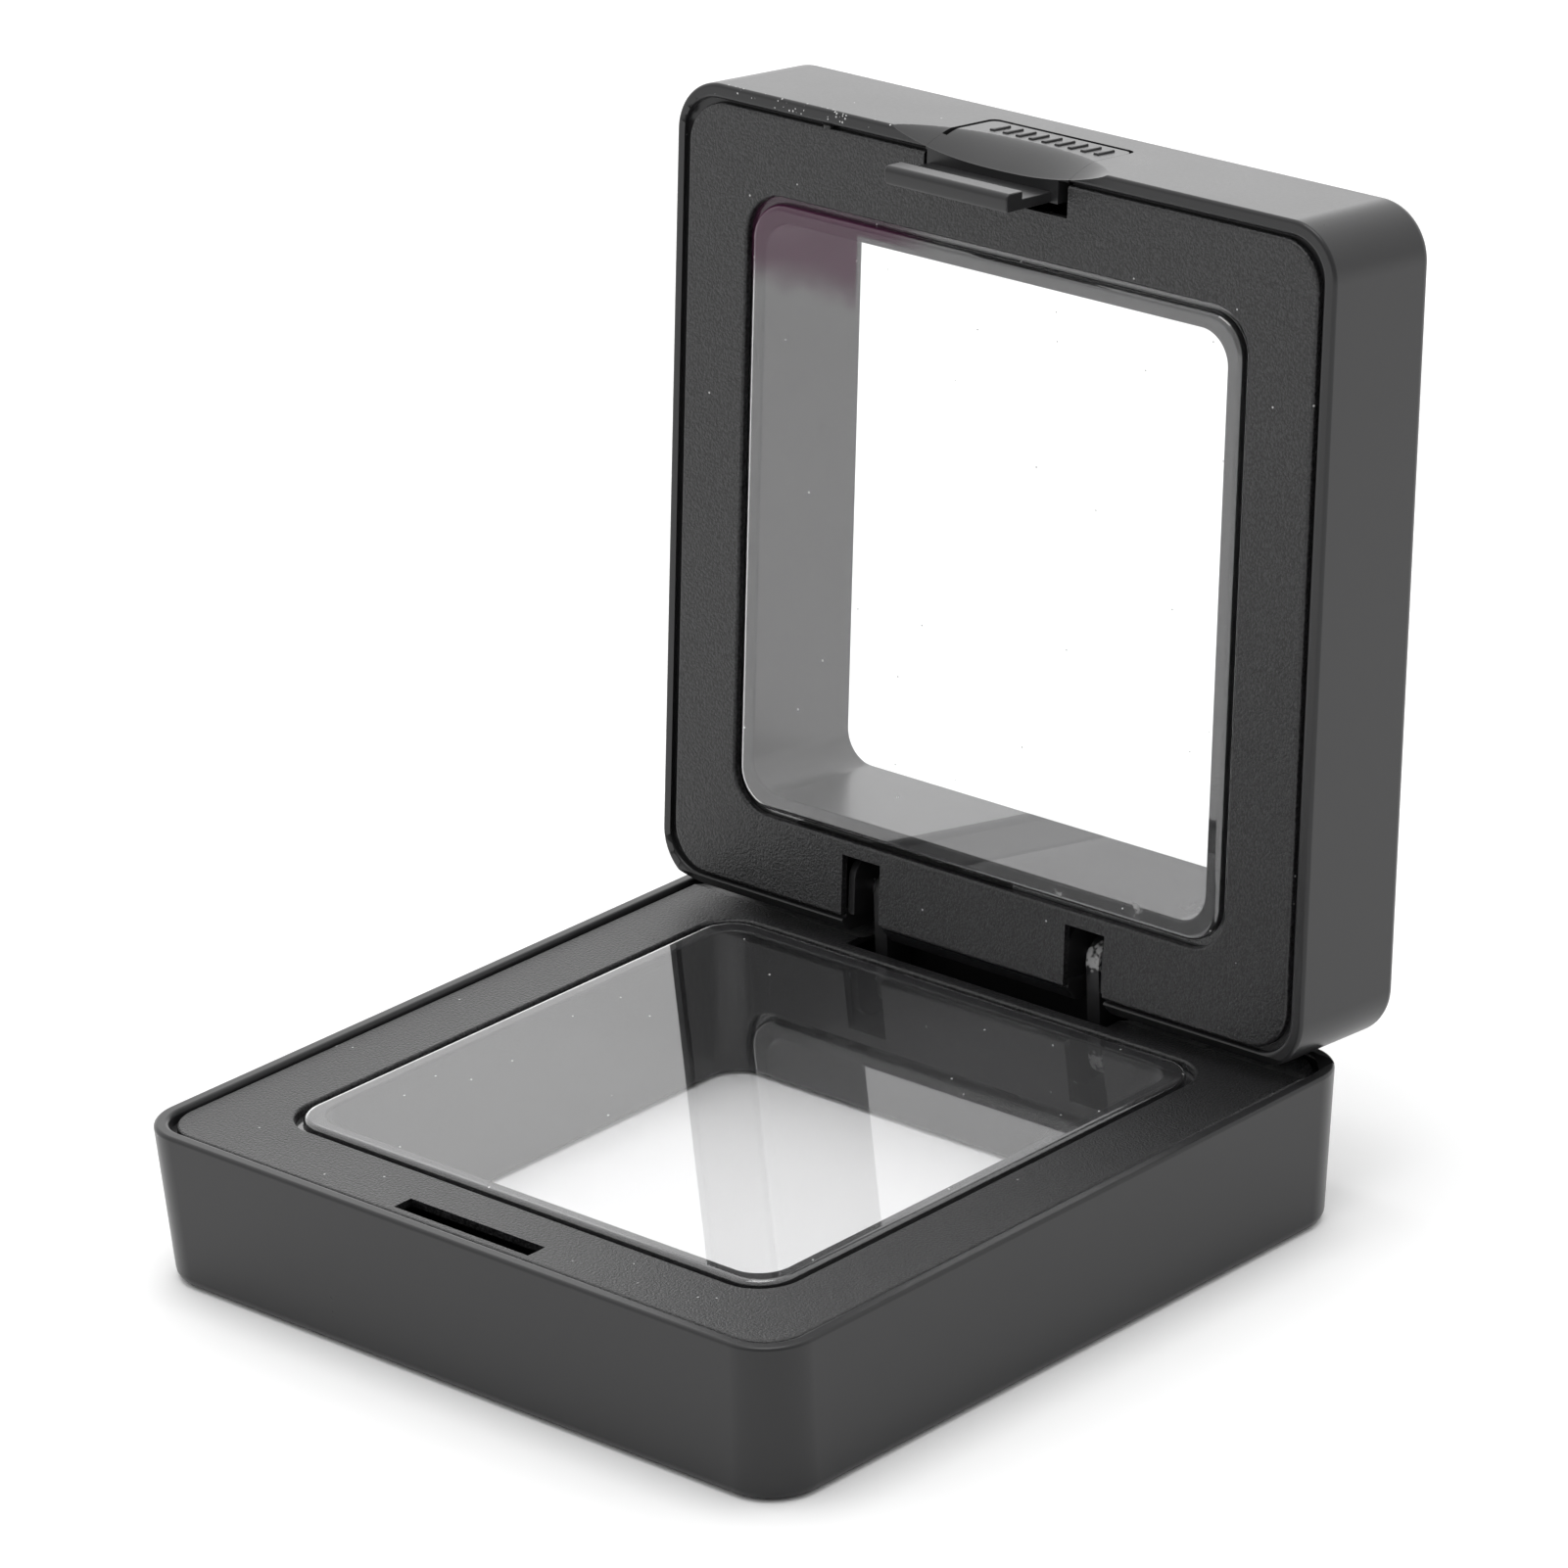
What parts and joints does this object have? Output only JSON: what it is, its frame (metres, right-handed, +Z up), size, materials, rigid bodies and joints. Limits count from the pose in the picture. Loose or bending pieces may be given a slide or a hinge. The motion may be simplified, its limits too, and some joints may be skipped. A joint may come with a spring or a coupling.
{
  "type": "floating display box",
  "caption": "Square hinged display case, shown open: two black frames, each with a clear film drawn over a ring in its window, and a push latch on the lid.",
  "frame": {"origin": "centre of the open box's bounding box at the level of the surface that the base stands on", "axes": "+Z up and the box's longest extent as it stands open, +X along the hinge axis to the right seen from the latch side, +Y from the latch side to the hinge side"},
  "size_m": [0.075, 0.0868, 0.09],
  "materials": {
    "satin_black_plastic": "satin, smooth moulded",
    "matte_black_plastic": "matte, fine grain",
    "clear_film": "clear, glossy stretched film",
    "bright_steel": "plain bright"
  },
  "bodies": {
    "base": {"base_shell": "satin_black_plastic", "base_retaining_frame": "matte_black_plastic", "base_film": "clear_film", "hinge_arm_left": "satin_black_plastic", "hinge_arm_right": "satin_black_plastic", "hinge_pin_left": "bright_steel", "hinge_pin_right": "bright_steel"},
    "lid": {"lid_shell": "satin_black_plastic", "lid_retaining_frame": "matte_black_plastic", "lid_film": "clear_film"},
    "latch": {"push_latch": "satin_black_plastic"}
  },
  "joints": [
    {"name": "lid_hinge", "type": "hinge", "parent": "base", "child": "lid", "pos_m": [0, 0.02782, 0.01875], "axis": [-1, 0, 0], "range_deg": [-95.2, 0]},
    {"name": "latch_press", "type": "slide", "parent": "lid", "child": "latch", "axis": [0, -0.0906, -0.9959], "range_m": [0, 0.0009], "stiffness_N_per_m": 2500}
  ]
}
